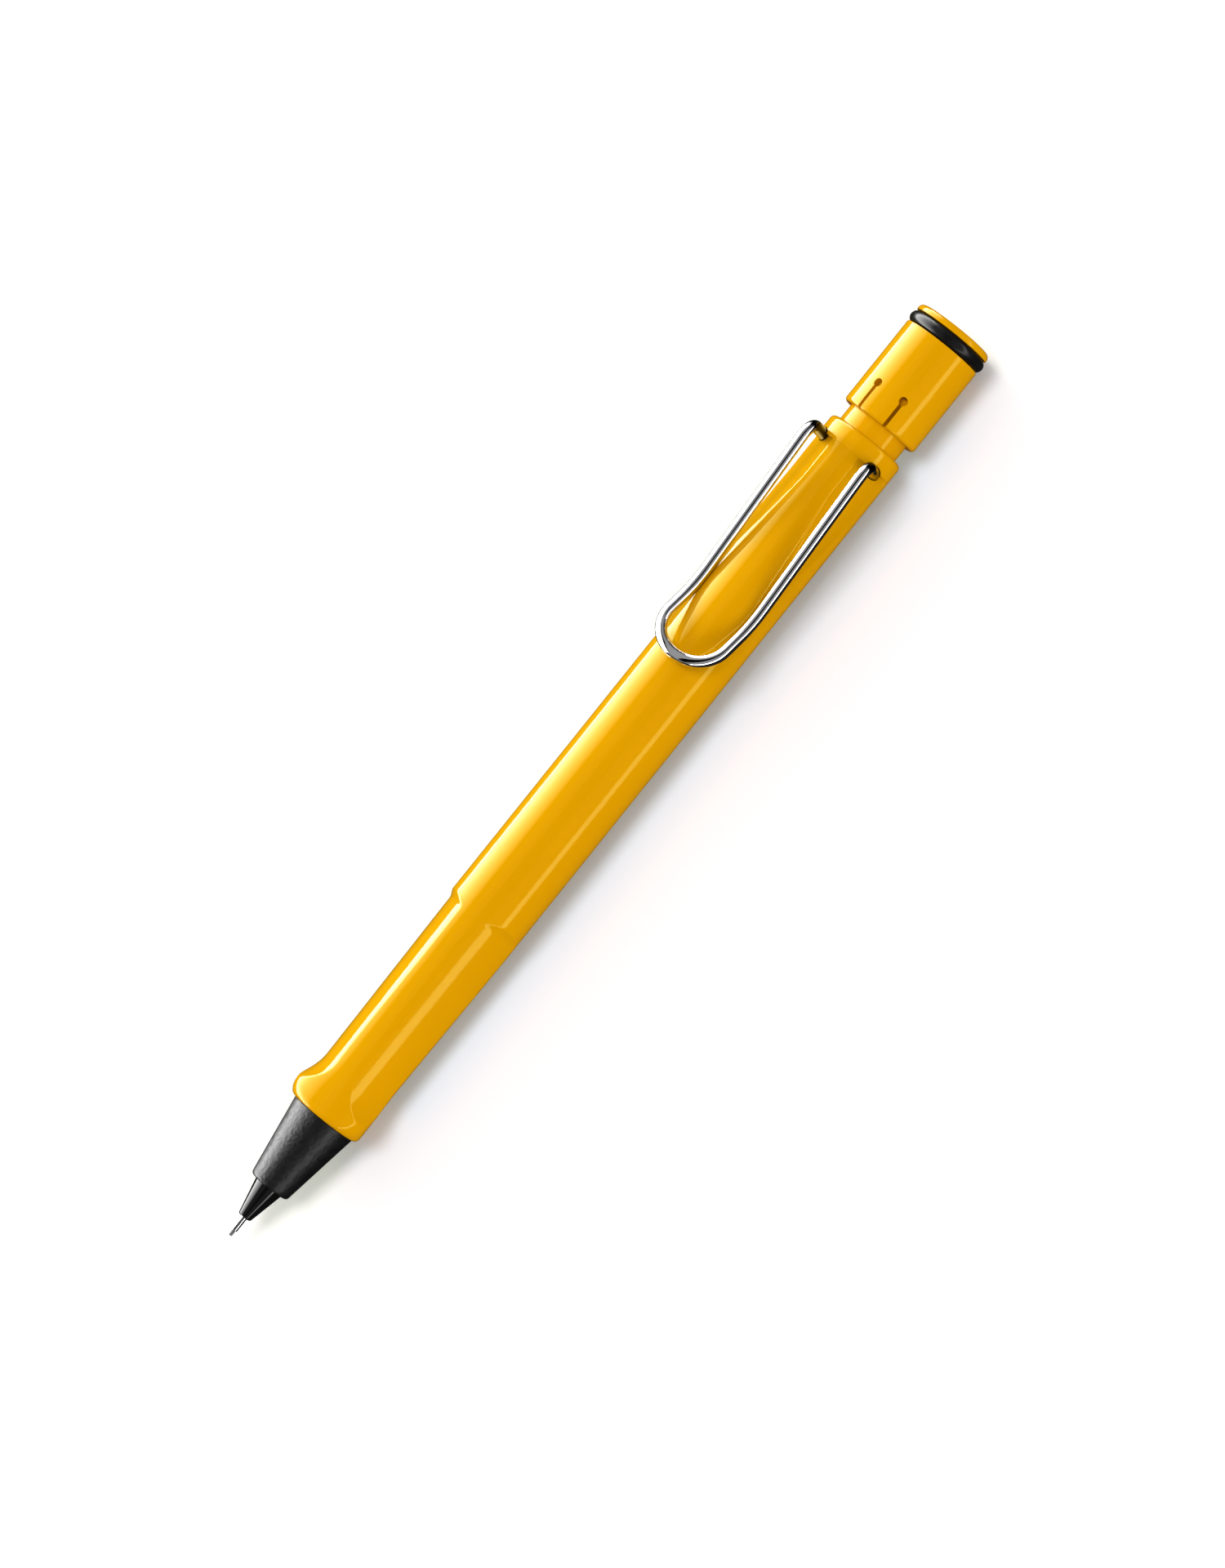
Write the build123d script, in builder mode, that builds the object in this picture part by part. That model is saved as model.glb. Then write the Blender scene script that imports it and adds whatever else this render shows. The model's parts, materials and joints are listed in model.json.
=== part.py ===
from build123d import *

import math
import os

# Push-button mechanical pencil for 0.5 mm lead, built as its separate pieces.
#
# The pencil lies along X on the plane Z = 0: lead tip towards -X, push cap towards +X, clip upwards.
# The origin is under the middle of its length.  Stations are distances in mm from the lead's tip, and
# radii are from the pencil's axis.

# Whole pencil
LENGTH = 140.0
AXIS_HEIGHT = 5.48
FIT = 0.03
SLIDE_FIT = 0.08
CUT_PAST = 1.0

# Lead and its steel sleeve
LEAD_R = 0.275
LEAD_LENGTH = 60.0
SLEEVE_START = 0.8
SLEEVE_END = 7.0
SLEEVE_R = 0.425
SLEEVE_BORE_R = 0.31

# Glossy tip and rubber retainer
TIP_START = 2.75
TIP_FRONT_R = 0.85
TIP_REAR_R = 1.92
TIP_SPIGOT_END = 12.4
TIP_SPIGOT_R = 1.85
TIP_EDGE_R = 0.35
RETAINER_START = 9.6
RETAINER_END = 12.3
RETAINER_R = 1.0

# Nose cone
CONE_START = 7.5
CONE_END = 18.1
CONE_FRONT_R = 2.7
CONE_REAR_R = 4.36
CONE_EDGE_R = 0.5
CONE_SPIGOT_END = 26.9
CONE_SPIGOT_R = 3.62
CONE_TIP_SEAT_END = 12.5
CONE_THROAT_END = 19.5
CONE_THROAT_R = 1.2
CONE_JAW_BORE_R = 1.75
CONE_RING_STOP = 23.3
CONE_RING_BORE_R = 2.6

# Barrel
BARREL_R = 5.22
BARREL_END = 120.3
BARREL_SOCKET_R = CONE_SPIGOT_R + SLIDE_FIT
BARREL_SOCKET_END = 27.0
BARREL_HOUSING_BORE_R = 3.45
BARREL_RIB_START = 47.0
BARREL_RIB_END = 50.0
BARREL_RIB_R = 3.05
BARREL_BORE_R = 3.85
BARREL_COLLAR_SEAT_START = 113.3
BARREL_COLLAR_SEAT_R = 3.75

# Grip: the barrel's front, with two thumb facets that run out into a raised lip
BARREL_START = CONE_END + FIT
MOUTH_R = 4.42
MOUTH_EDGE = 0.4
GRIP_BACK_R = 4.9
GRIP_TAPER_START = 22.0
GRIP_TAPER_END = 50.0
LIP_ANGLE = 70.0
LIP_STATION = 20.3
LIP_R = 5.6
LIP_BALL_R = 3.6
FACET_ANGLE = 56.5
FACET_ARC_R = 10.0
FACET_HALF_WIDTH = 5.5
FACET_CUT_R = 9.0
FACET_OUTLINE = (
    (20.6, 5.7),
    (22.2, 4.83),
    (24.6, 4.37),
    (48.4, 4.6),
    (50.2, 5.3),
)

# Flats that the clip's legs lie over
RELIEF_ANGLE = 53.0
RELIEF_START = 103.6
RELIEF_FULL = 114.5
RELIEF_DEPTH = 0.68
RELIEF_END_DEPTH = 0.74

# Clip: one bent wire whose two ends stand in holes on the joint of barrel and collar
WIRE_R = 0.75
CLIP_HOLE_STATION = 120.1
CLIP_HOLE_Y = 3.85
CLIP_HOLE_R = 0.95
CLIP_HOLE_FLOOR = 1.45
CLIP_END_HEIGHT = 1.6
CLIP_TOP_Y = 4.45
CLIP_TOP_HEIGHT = 7.665
CLIP_DIP_STATION = 96.4
CLIP_DIP_HEIGHT = 3.76
CLIP_LOOP_STATION = 88.15
CLIP_LOOP_HEIGHT = 7.3
CLIP_LOOP_Y = 4.4
CLIP_TOP_BEND_R = 1.65
CLIP_DIP_BEND_R = 9.0
CLIP_LOOP_BEND_R = 4.34

# Collar and neck
COLLAR_END = 122.9
COLLAR_EDGE_R = 0.6
COLLAR_SPIGOT_START = 113.4
COLLAR_SPIGOT_R = 3.72
COLLAR_BORE_R = 2.68
NECK_R = 4.21
NECK_END = 129.45

# Push cap
CAP_START = 125.1
CAP_R = 5.26
CAP_RIM_EDGE_R = 0.45
CAP_END_EDGE_R = 0.6
CAP_NECK_BORE_R = 4.32
CAP_STEP = 132.55
CAP_GRIP_BORE_R = 3.0
CAP_FLOOR = 136.3
CAP_SLOT_ANGLE = 22.4
CAP_SLOT_WIDTH = 0.46
CAP_SLOT_HOLE_R = 0.55
CAP_SLOT_HOLE_STATION = 128.9
GROOVE_START = 137.35
GROOVE_WIDTH = 1.76
GROOVE_FLOOR_R = 3.76

# Rubber ring in the cap's groove
RING_SECTION_R = 0.85
RING_STATION = GROOVE_START + GROOVE_WIDTH / 2

# Clutch: collet, ring, housing and spring
COLLET_START = 22.5
COLLET_HEAD_END = 26.0
COLLET_FRONT_R = 1.5
COLLET_NECK_R = 1.0
COLLET_BORE_R = 0.305
COLLET_TAIL_START = 34.6
COLLET_END = 38.4
COLLET_TAIL_R = 1.25
COLLET_SLIT_END = 33.0
COLLET_SLIT_WIDTH = 0.25
COLLET_JAWS = 3
CLUTCH_START = 23.9
CLUTCH_END = 26.4
CLUTCH_R = 2.2
HOUSING_START = 27.0
HOUSING_R = 3.4
HOUSING_MOUTH_R = 1.4
HOUSING_SEAT = 29.0
HOUSING_SPRING_BORE_R = 2.4
HOUSING_TUBE_BORE_START = 41.5
HOUSING_TUBE_BORE_R = 2.75
SPRING_WIRE_R = 0.2
SPRING_MEAN_R = 1.75
SPRING_TURNS = 6
SPRING_START = 29.3
SPRING_END = 35.3

# Plunger behind the clutch
COUPLER_START = 35.6
COUPLER_R = 2.3
COUPLER_SPIGOT_R = 1.98
COUPLER_END = 47.0
COUPLER_BORE_R = 0.6
TUBE_R = 2.6
TUBE_BORE_R = 2.0
TUBE_START = 44.0
TUBE_END = 131.5

# Spare leads lying in the tube
SPARE_START = 50.0
SPARE_DROP = 1.62
SPARE_SPACING = 0.66
SPARE_COUNT = 3

# Eraser, its holder and the cleaning needle
HOLDER_SPIGOT_START = 127.5
HOLDER_SPIGOT_R = 1.98
HOLDER_BORE_R = 0.9
HOLDER_FLANGE_START = TUBE_END
HOLDER_FLANGE_END = 132.5
HOLDER_FLANGE_R = 3.2
HOLDER_CUP_R = 2.95
HOLDER_CUP_BORE_R = 2.35
HOLDER_END = 134.6
ERASER_START = 131.7
ERASER_END = 136.0
ERASER_R = 2.32
ERASER_EDGE_R = 0.4
NEEDLE_R = 0.25
NEEDLE_START = 113.0
NEEDLE_END = 134.0


STATION_MATCH = 1e-3
PENCIL_AXIS = Axis((0, 0, AXIS_HEIGHT), (1, 0, 0))
HALF_SECTION = Plane(origin=(-LENGTH / 2, 0, AXIS_HEIGHT), x_dir=(1, 0, 0), z_dir=(0, -1, 0))


def cross_plane(station):
    """The plane square to the axis at a station, with its Y upwards."""
    return Plane(origin=(station - LENGTH / 2, 0, AXIS_HEIGHT), x_dir=(0, 1, 0), z_dir=(1, 0, 0))


def radial_plane(angle):
    """The plane through the axis at an angle from straight up: (station, radius) coordinates."""
    outward = math.radians(angle)
    return Plane(
        origin=(-LENGTH / 2, 0, AXIS_HEIGHT),
        x_dir=(1, 0, 0),
        z_dir=(0, -math.cos(outward), math.sin(outward)),
    )


def turned(points, mode=Mode.ADD):
    """Spin a closed half section of (station, radius) points about the pencil's axis."""
    with BuildSketch(HALF_SECTION) as half:
        with BuildLine():
            Polyline(*points, close=True)
        make_face()
    revolve(half.sketch, axis=PENCIL_AXIS, mode=mode)


def tube(start, end, outer, inner, mode=Mode.ADD):
    """A plain turned tube, or a solid rod where the inner radius is zero."""
    turned([(start, inner), (start, outer), (end, outer), (end, inner)], mode)


def edges_at(part, station, radius):
    """The round edges of a part at a station and radius."""
    circles = part.edges().filter_by(GeomType.CIRCLE)
    level = circles.filter_by(lambda edge: abs(edge.arc_center.X + LENGTH / 2 - station) < STATION_MATCH)
    return level.filter_by(lambda edge: abs(edge.radius - radius) < STATION_MATCH)


def facet_cutter(angle, station, depth):
    """What a facet removes at one station: all beyond a shallow arc at a radius of depth."""
    outward = math.radians(angle)
    plane = Plane(
        origin=(station - LENGTH / 2, 0, AXIS_HEIGHT),
        x_dir=(0, math.cos(outward), -math.sin(outward)),
        z_dir=(1, 0, 0),
    )
    drop = FACET_ARC_R - math.sqrt(FACET_ARC_R**2 - FACET_HALF_WIDTH**2)
    with BuildSketch(plane) as cutter:
        with BuildLine():
            ThreePointArc(
                (-FACET_HALF_WIDTH, depth - drop),
                (0, depth),
                (FACET_HALF_WIDTH, depth - drop),
            )
            Polyline(
                (FACET_HALF_WIDTH, depth - drop),
                (FACET_HALF_WIDTH, FACET_CUT_R),
                (-FACET_HALF_WIDTH, FACET_CUT_R),
                (-FACET_HALF_WIDTH, depth - drop),
            )
        make_face()
    return cutter.sketch


def clip_holes():
    """Cut the two upright holes that take the clip's ends, half in the barrel, half in the collar."""
    floor = Plane.XY.offset(AXIS_HEIGHT + CLIP_HOLE_FLOOR)
    with BuildSketch(floor) as holes:
        with Locations(
            (CLIP_HOLE_STATION - LENGTH / 2, CLIP_HOLE_Y),
            (CLIP_HOLE_STATION - LENGTH / 2, -CLIP_HOLE_Y),
        ):
            Circle(CLIP_HOLE_R)
    extrude(holes.sketch, amount=BARREL_R, mode=Mode.SUBTRACT)


def write(piece, name):
    """Label a finished piece and write its STEP file."""
    piece.part.label = name
    export_step(piece.part, f"parts/{name}.step")


os.makedirs("parts", exist_ok=True)

# Lead in use
with BuildPart() as lead:
    tube(0, LEAD_LENGTH, LEAD_R, 0)
write(lead, "lead")

# Steel sleeve that guides the lead out of the tip
with BuildPart() as lead_sleeve:
    tube(SLEEVE_START, SLEEVE_END, SLEEVE_R, SLEEVE_BORE_R)
write(lead_sleeve, "lead_sleeve")

# Glossy tip, with a spigot in the nose cone
with BuildPart() as nose_tip:
    turned([
        (TIP_START, SLEEVE_R),
        (TIP_START, TIP_FRONT_R),
        (CONE_START, TIP_REAR_R),
        (CONE_START, TIP_SPIGOT_R),
        (TIP_SPIGOT_END, TIP_SPIGOT_R),
        (TIP_SPIGOT_END, RETAINER_R),
        (RETAINER_START, RETAINER_R),
        (RETAINER_START, SLEEVE_BORE_R),
        (SLEEVE_END, SLEEVE_BORE_R),
        (SLEEVE_END, SLEEVE_R),
    ])
    fillet(edges_at(nose_tip.part, TIP_START, TIP_FRONT_R), TIP_EDGE_R)
write(nose_tip, "nose_tip")

# Rubber retainer that keeps the lead from sliding back
with BuildPart() as lead_retainer:
    tube(RETAINER_START, RETAINER_END, RETAINER_R, LEAD_R + FIT)
write(lead_retainer, "lead_retainer")

# Nose cone: screws into the barrel and stops the clutch ring inside
with BuildPart() as nose_cone:
    turned([
        (CONE_START, TIP_SPIGOT_R),
        (CONE_START, CONE_FRONT_R),
        (CONE_END, CONE_REAR_R),
        (CONE_END, CONE_SPIGOT_R),
        (CONE_SPIGOT_END, CONE_SPIGOT_R),
        (CONE_SPIGOT_END, CONE_RING_BORE_R),
        (CONE_RING_STOP, CONE_RING_BORE_R),
        (CONE_RING_STOP, CONE_JAW_BORE_R),
        (CONE_THROAT_END, CONE_JAW_BORE_R),
        (CONE_THROAT_END, CONE_THROAT_R),
        (CONE_TIP_SEAT_END, CONE_THROAT_R),
        (CONE_TIP_SEAT_END, TIP_SPIGOT_R),
    ])
    fillet(edges_at(nose_cone.part, CONE_START, CONE_FRONT_R), CONE_EDGE_R)
write(nose_cone, "nose_cone")

# Barrel: turned shell with a ball-nosed lip over each thumb facet, and flats under the clip
with BuildPart() as barrel:
    turned([
        (BARREL_START, 0),
        (BARREL_START, MOUTH_R),
        (BARREL_START + MOUTH_EDGE, GRIP_BACK_R),
        (GRIP_TAPER_START, GRIP_BACK_R),
        (GRIP_TAPER_END, BARREL_R),
        (BARREL_END, BARREL_R),
        (BARREL_END, 0),
    ])
    for side in (-1, 1):
        lip_turn = math.radians(side * LIP_ANGLE)
        ball_radius = LIP_R - LIP_BALL_R
        with Locations((
            LIP_STATION - LENGTH / 2,
            ball_radius * math.sin(lip_turn),
            AXIS_HEIGHT + ball_radius * math.cos(lip_turn),
        )):
            Sphere(LIP_BALL_R)
    tube(BARREL_START - LIP_BALL_R, BARREL_START, LIP_R + CUT_PAST, 0, mode=Mode.SUBTRACT)
    for side in (-1, 1):
        loft(
            [facet_cutter(side * FACET_ANGLE, station, depth) for station, depth in FACET_OUTLINE],
            ruled=True,
            mode=Mode.SUBTRACT,
        )
    turned([
        (CONE_END - CUT_PAST, 0),
        (CONE_END - CUT_PAST, BARREL_SOCKET_R),
        (BARREL_SOCKET_END, BARREL_SOCKET_R),
        (BARREL_SOCKET_END, BARREL_HOUSING_BORE_R),
        (BARREL_RIB_START, BARREL_HOUSING_BORE_R),
        (BARREL_RIB_START, BARREL_RIB_R),
        (BARREL_RIB_END, BARREL_RIB_R),
        (BARREL_RIB_END, BARREL_BORE_R),
        (BARREL_COLLAR_SEAT_START, BARREL_BORE_R),
        (BARREL_COLLAR_SEAT_START, BARREL_COLLAR_SEAT_R),
        (BARREL_END + CUT_PAST, BARREL_COLLAR_SEAT_R),
        (BARREL_END + CUT_PAST, 0),
    ], mode=Mode.SUBTRACT)
    for side in (-1, 1):
        with BuildSketch(radial_plane(side * RELIEF_ANGLE)) as relief:
            with BuildLine():
                Polyline(
                    (RELIEF_START, BARREL_R),
                    (RELIEF_FULL, BARREL_R - RELIEF_DEPTH),
                    (BARREL_END + CUT_PAST, BARREL_R - RELIEF_END_DEPTH),
                    (BARREL_END + CUT_PAST, BARREL_R + CUT_PAST),
                    (RELIEF_START, BARREL_R + CUT_PAST),
                    close=True,
                )
            make_face()
        extrude(relief.sketch, amount=BARREL_R, both=True, mode=Mode.SUBTRACT)
    clip_holes()
write(barrel, "barrel")

# Collar: closes the clip's holes, guides the lead tube and carries the cap on its neck
with BuildPart() as clip_collar:
    turned([
        (COLLAR_SPIGOT_START, COLLAR_BORE_R),
        (COLLAR_SPIGOT_START, COLLAR_SPIGOT_R),
        (BARREL_END, COLLAR_SPIGOT_R),
        (BARREL_END, BARREL_R),
        (COLLAR_END, BARREL_R),
        (COLLAR_END, NECK_R),
        (NECK_END, NECK_R),
        (NECK_END, COLLAR_BORE_R),
    ])
    fillet(edges_at(clip_collar.part, COLLAR_END, BARREL_R), COLLAR_EDGE_R)
    clip_holes()
write(clip_collar, "clip_collar")

# Clip: the wire runs up out of one hole, along the barrel, round the loop and back down
with BuildPart() as clip:
    leg = [
        (CLIP_HOLE_STATION, CLIP_HOLE_Y, CLIP_END_HEIGHT),
        (CLIP_HOLE_STATION, CLIP_TOP_Y, CLIP_TOP_HEIGHT),
        (CLIP_DIP_STATION, CLIP_LOOP_Y, CLIP_DIP_HEIGHT),
        (CLIP_LOOP_STATION, CLIP_LOOP_Y, CLIP_LOOP_HEIGHT),
    ]
    corners = leg + [(station, -y, height) for station, y, height in reversed(leg)]
    bends = [CLIP_TOP_BEND_R, CLIP_DIP_BEND_R, CLIP_LOOP_BEND_R]
    with BuildLine() as wire:
        FilletPolyline(
            *[(station - LENGTH / 2, y, AXIS_HEIGHT + height) for station, y, height in corners],
            radius=bends + bends[::-1],
        )
    with BuildSketch(Plane(origin=wire.line @ 0, z_dir=wire.line % 0)):
        Circle(WIRE_R)
    sweep(path=wire.line)
write(clip, "clip")

# Collet: a brass tube slit into jaws, with a head that the clutch ring squeezes
with BuildPart() as collet:
    turned([
        (COLLET_START, COLLET_BORE_R),
        (COLLET_START, COLLET_FRONT_R),
        (COLLET_HEAD_END, COLLET_NECK_R),
        (COLLET_TAIL_START, COLLET_NECK_R),
        (COLLET_TAIL_START, COLLET_TAIL_R),
        (COLLET_END, COLLET_TAIL_R),
        (COLLET_END, COLLET_BORE_R),
    ])
    slit_length = COLLET_SLIT_END - COLLET_START
    with BuildSketch(cross_plane(COLLET_START)) as slits:
        with PolarLocations(0, COLLET_JAWS, start_angle=90):
            Rectangle(COLLET_FRONT_R + CUT_PAST, COLLET_SLIT_WIDTH, align=(Align.MIN, Align.CENTER))
    extrude(slits.sketch, amount=slit_length, mode=Mode.SUBTRACT)
write(collet, "collet")

# Clutch ring: its tapered bore holds the jaws shut until the ring meets the nose cone's stop
jaw_slope = (COLLET_FRONT_R - COLLET_NECK_R) / (COLLET_HEAD_END - COLLET_START)
with BuildPart() as clutch_ring:
    turned([
        (CLUTCH_START, COLLET_FRONT_R - jaw_slope * (CLUTCH_START - COLLET_START) + FIT),
        (CLUTCH_START, CLUTCH_R),
        (CLUTCH_END, CLUTCH_R),
        (CLUTCH_END, COLLET_NECK_R + FIT),
        (COLLET_HEAD_END, COLLET_NECK_R + FIT),
    ])
write(clutch_ring, "clutch_ring")

# Housing of the mechanism, held between the nose cone and the barrel's inner rib
with BuildPart() as mechanism_sleeve:
    turned([
        (HOUSING_START, HOUSING_MOUTH_R),
        (HOUSING_START, HOUSING_R),
        (BARREL_RIB_START, HOUSING_R),
        (BARREL_RIB_START, HOUSING_TUBE_BORE_R),
        (HOUSING_TUBE_BORE_START, HOUSING_TUBE_BORE_R),
        (HOUSING_TUBE_BORE_START, HOUSING_SPRING_BORE_R),
        (HOUSING_SEAT, HOUSING_SPRING_BORE_R),
        (HOUSING_SEAT, HOUSING_MOUTH_R),
    ])
write(mechanism_sleeve, "mechanism_sleeve")

# Main spring round the collet
with BuildPart() as main_spring:
    with BuildLine() as coil:
        Helix(
            pitch=(SPRING_END - SPRING_START) / SPRING_TURNS,
            height=SPRING_END - SPRING_START,
            radius=SPRING_MEAN_R,
            center=(SPRING_START - LENGTH / 2, 0, AXIS_HEIGHT),
            direction=(1, 0, 0),
        )
    with BuildSketch(Plane(origin=coil.line @ 0, z_dir=coil.line % 0)):
        Circle(SPRING_WIRE_R)
    sweep(path=coil.line, is_frenet=True)
write(main_spring, "main_spring")

# Coupler between collet and lead tube
with BuildPart() as tube_coupler:
    turned([
        (COUPLER_START, COLLET_TAIL_R),
        (COUPLER_START, COUPLER_R),
        (TUBE_START, COUPLER_R),
        (TUBE_START, COUPLER_SPIGOT_R),
        (COUPLER_END, COUPLER_SPIGOT_R),
        (COUPLER_END, COUPLER_BORE_R),
        (COLLET_END, COUPLER_BORE_R),
        (COLLET_END, COLLET_TAIL_R),
    ])
write(tube_coupler, "tube_coupler")

# Lead tube: the magazine, and the push rod from cap to clutch
with BuildPart() as lead_tube:
    tube(TUBE_START, TUBE_END, TUBE_R, TUBE_BORE_R)
write(lead_tube, "lead_tube")

# Spare leads on the floor of the tube
with BuildPart() as spare_leads:
    with BuildSketch(cross_plane(SPARE_START)) as spares:
        for spare in range(SPARE_COUNT):
            across = (spare - (SPARE_COUNT - 1) / 2) * SPARE_SPACING
            height = -math.sqrt(SPARE_DROP**2 - across**2)
            with Locations((across, height)):
                Circle(LEAD_R)
    extrude(spares.sketch, amount=LEAD_LENGTH)
write(spare_leads, "spare_leads")

# Eraser holder: a cup on a spigot that plugs the lead tube
with BuildPart() as eraser_holder:
    turned([
        (HOLDER_SPIGOT_START, HOLDER_BORE_R),
        (HOLDER_SPIGOT_START, HOLDER_SPIGOT_R),
        (HOLDER_FLANGE_START, HOLDER_SPIGOT_R),
        (HOLDER_FLANGE_START, HOLDER_FLANGE_R),
        (HOLDER_FLANGE_END, HOLDER_FLANGE_R),
        (HOLDER_FLANGE_END, HOLDER_CUP_R),
        (HOLDER_END, HOLDER_CUP_R),
        (HOLDER_END, HOLDER_CUP_BORE_R),
        (ERASER_START, HOLDER_CUP_BORE_R),
        (ERASER_START, HOLDER_BORE_R),
    ])
write(eraser_holder, "eraser_holder")

# Eraser, bored for its needle
with BuildPart() as eraser:
    tube(ERASER_START, ERASER_END, ERASER_R, 0)
    tube(ERASER_START, NEEDLE_END, NEEDLE_R, 0, mode=Mode.SUBTRACT)
    fillet(edges_at(eraser.part, ERASER_END, ERASER_R), ERASER_EDGE_R)
write(eraser, "eraser")

# Cleaning needle that stands in the eraser and hangs in the lead tube
with BuildPart() as eraser_needle:
    tube(NEEDLE_START, NEEDLE_END, NEEDLE_R, 0)
write(eraser_needle, "eraser_needle")

# Push cap, with keyhole slots that make its rim springy
with BuildPart() as push_cap:
    turned([
        (CAP_START, CAP_NECK_BORE_R),
        (CAP_START, CAP_R),
        (GROOVE_START, CAP_R),
        (GROOVE_START, GROOVE_FLOOR_R),
        (GROOVE_START + GROOVE_WIDTH, GROOVE_FLOOR_R),
        (GROOVE_START + GROOVE_WIDTH, CAP_R),
        (LENGTH, CAP_R),
        (LENGTH, 0),
        (CAP_FLOOR, 0),
        (CAP_FLOOR, CAP_GRIP_BORE_R),
        (CAP_STEP, CAP_GRIP_BORE_R),
        (CAP_STEP, CAP_NECK_BORE_R),
    ])
    fillet(edges_at(push_cap.part, CAP_START, CAP_R), CAP_RIM_EDGE_R)
    fillet(edges_at(push_cap.part, LENGTH, CAP_R), CAP_END_EDGE_R)
    for middle in (0, 180):
        for side in (-1, 1):
            outward = math.radians(middle + side * CAP_SLOT_ANGLE)
            face = Plane(
                origin=(-LENGTH / 2, 0, AXIS_HEIGHT),
                x_dir=(1, 0, 0),
                z_dir=(0, math.sin(outward), math.cos(outward)),
            )
            with BuildSketch(face) as keyhole:
                with Locations((CAP_SLOT_HOLE_STATION, 0)):
                    Circle(CAP_SLOT_HOLE_R)
                    Rectangle(
                        CAP_SLOT_HOLE_STATION - CAP_START + CUT_PAST,
                        CAP_SLOT_WIDTH,
                        align=(Align.MAX, Align.CENTER),
                    )
            extrude(keyhole.sketch, amount=CAP_R + CUT_PAST, mode=Mode.SUBTRACT)
write(push_cap, "push_cap")

# Rubber ring in the cap's groove
with BuildPart() as cap_ring:
    with BuildSketch(HALF_SECTION) as section:
        with Locations((RING_STATION, AXIS_HEIGHT - RING_SECTION_R)):
            Circle(RING_SECTION_R)
    revolve(section.sketch, axis=PENCIL_AXIS)
write(cap_ring, "cap_ring")
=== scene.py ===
import json
import math

import bmesh
import bpy
from mathutils import Matrix, Vector


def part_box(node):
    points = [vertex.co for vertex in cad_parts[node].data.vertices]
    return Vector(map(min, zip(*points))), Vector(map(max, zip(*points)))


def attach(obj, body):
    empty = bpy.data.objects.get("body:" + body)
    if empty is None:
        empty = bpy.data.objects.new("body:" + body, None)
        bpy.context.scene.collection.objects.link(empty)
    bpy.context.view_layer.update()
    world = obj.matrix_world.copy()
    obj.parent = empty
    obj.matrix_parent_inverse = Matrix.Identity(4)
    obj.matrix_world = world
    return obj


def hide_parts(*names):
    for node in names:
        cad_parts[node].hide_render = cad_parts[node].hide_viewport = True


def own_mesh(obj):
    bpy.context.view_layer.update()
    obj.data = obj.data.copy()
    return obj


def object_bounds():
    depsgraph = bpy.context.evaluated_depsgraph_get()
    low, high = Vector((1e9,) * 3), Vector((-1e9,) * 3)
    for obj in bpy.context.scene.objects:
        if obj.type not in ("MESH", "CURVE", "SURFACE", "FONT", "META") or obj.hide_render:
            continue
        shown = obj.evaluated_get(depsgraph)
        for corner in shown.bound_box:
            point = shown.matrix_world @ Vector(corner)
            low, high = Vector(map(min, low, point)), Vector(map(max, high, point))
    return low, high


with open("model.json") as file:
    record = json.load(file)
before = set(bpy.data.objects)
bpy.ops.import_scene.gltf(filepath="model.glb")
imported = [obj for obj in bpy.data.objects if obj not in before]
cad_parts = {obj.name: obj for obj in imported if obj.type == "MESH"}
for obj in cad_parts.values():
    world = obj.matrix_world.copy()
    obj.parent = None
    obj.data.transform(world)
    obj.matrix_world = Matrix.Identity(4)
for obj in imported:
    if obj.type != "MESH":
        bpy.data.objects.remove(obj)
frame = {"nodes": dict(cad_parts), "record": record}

nodes = frame["nodes"]
cad_low, cad_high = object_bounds()

MM = 0.001
WHITE = (1.0, 1.0, 1.0)


# ---------------------------------------------------------------- frame

def span(node):
    """(first station, last station, half width) of a CAD node, in mm from the lead's tip."""
    low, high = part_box(node)
    return (
        (low.x - cad_low.x) / MM,
        (high.x - cad_low.x) / MM,
        (high.y - low.y) / 2 / MM,
    )


ring_low, ring_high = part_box("cap_ring")
AXIS_Z = (ring_low.z + ring_high.z) / 2


def place(station, y, height):
    """A point in metres from its station, side offset and height above the axis in mm."""
    return Vector((cad_low.x + station * MM, y * MM, AXIS_Z + height * MM))


def polar(station, radius, angle):
    """A point at a radius in mm and an angle in degrees from straight up."""
    turn = math.radians(angle)
    return place(station, radius * math.sin(turn), radius * math.cos(turn))


# ---------------------------------------------------------------- materials

def node_tree(name):
    """A new material with its node tree and shader."""
    made = bpy.data.materials.new(name)
    made.use_nodes = True
    tree = made.node_tree
    return made, tree, tree.nodes["Principled BSDF"]


def axes(tree, kind="Object"):
    """Coordinates of a kind, split into X, Y and Z."""
    coordinates = tree.nodes.new("ShaderNodeTexCoord")
    split = tree.nodes.new("ShaderNodeSeparateXYZ")
    tree.links.new(coordinates.outputs[kind], split.inputs["Vector"])
    return split.outputs


def noise(tree, scale, detail, stretch=(1, 1, 1)):
    """Noise over the object's own coordinates, stretched along its axes."""
    coordinates = tree.nodes.new("ShaderNodeTexCoord")
    mapping = tree.nodes.new("ShaderNodeMapping")
    mapping.inputs["Scale"].default_value = stretch
    made = tree.nodes.new("ShaderNodeTexNoise")
    made.inputs["Scale"].default_value = scale
    made.inputs["Detail"].default_value = detail
    tree.links.new(coordinates.outputs["Object"], mapping.inputs["Vector"])
    tree.links.new(mapping.outputs["Vector"], made.inputs["Vector"])
    return made.outputs["Fac"]


NOISE_RUN = (0.3, 0.7)


def ramp(tree, value, low, high, run=NOISE_RUN):
    """Go from a low number to a high one as a value passes along a run."""
    made = tree.nodes.new("ShaderNodeMapRange")
    made.inputs["From Min"].default_value = run[0]
    made.inputs["From Max"].default_value = run[1]
    made.inputs["To Min"].default_value = low
    made.inputs["To Max"].default_value = high
    tree.links.new(value, made.inputs["Value"])
    return made.outputs["Result"]


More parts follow.
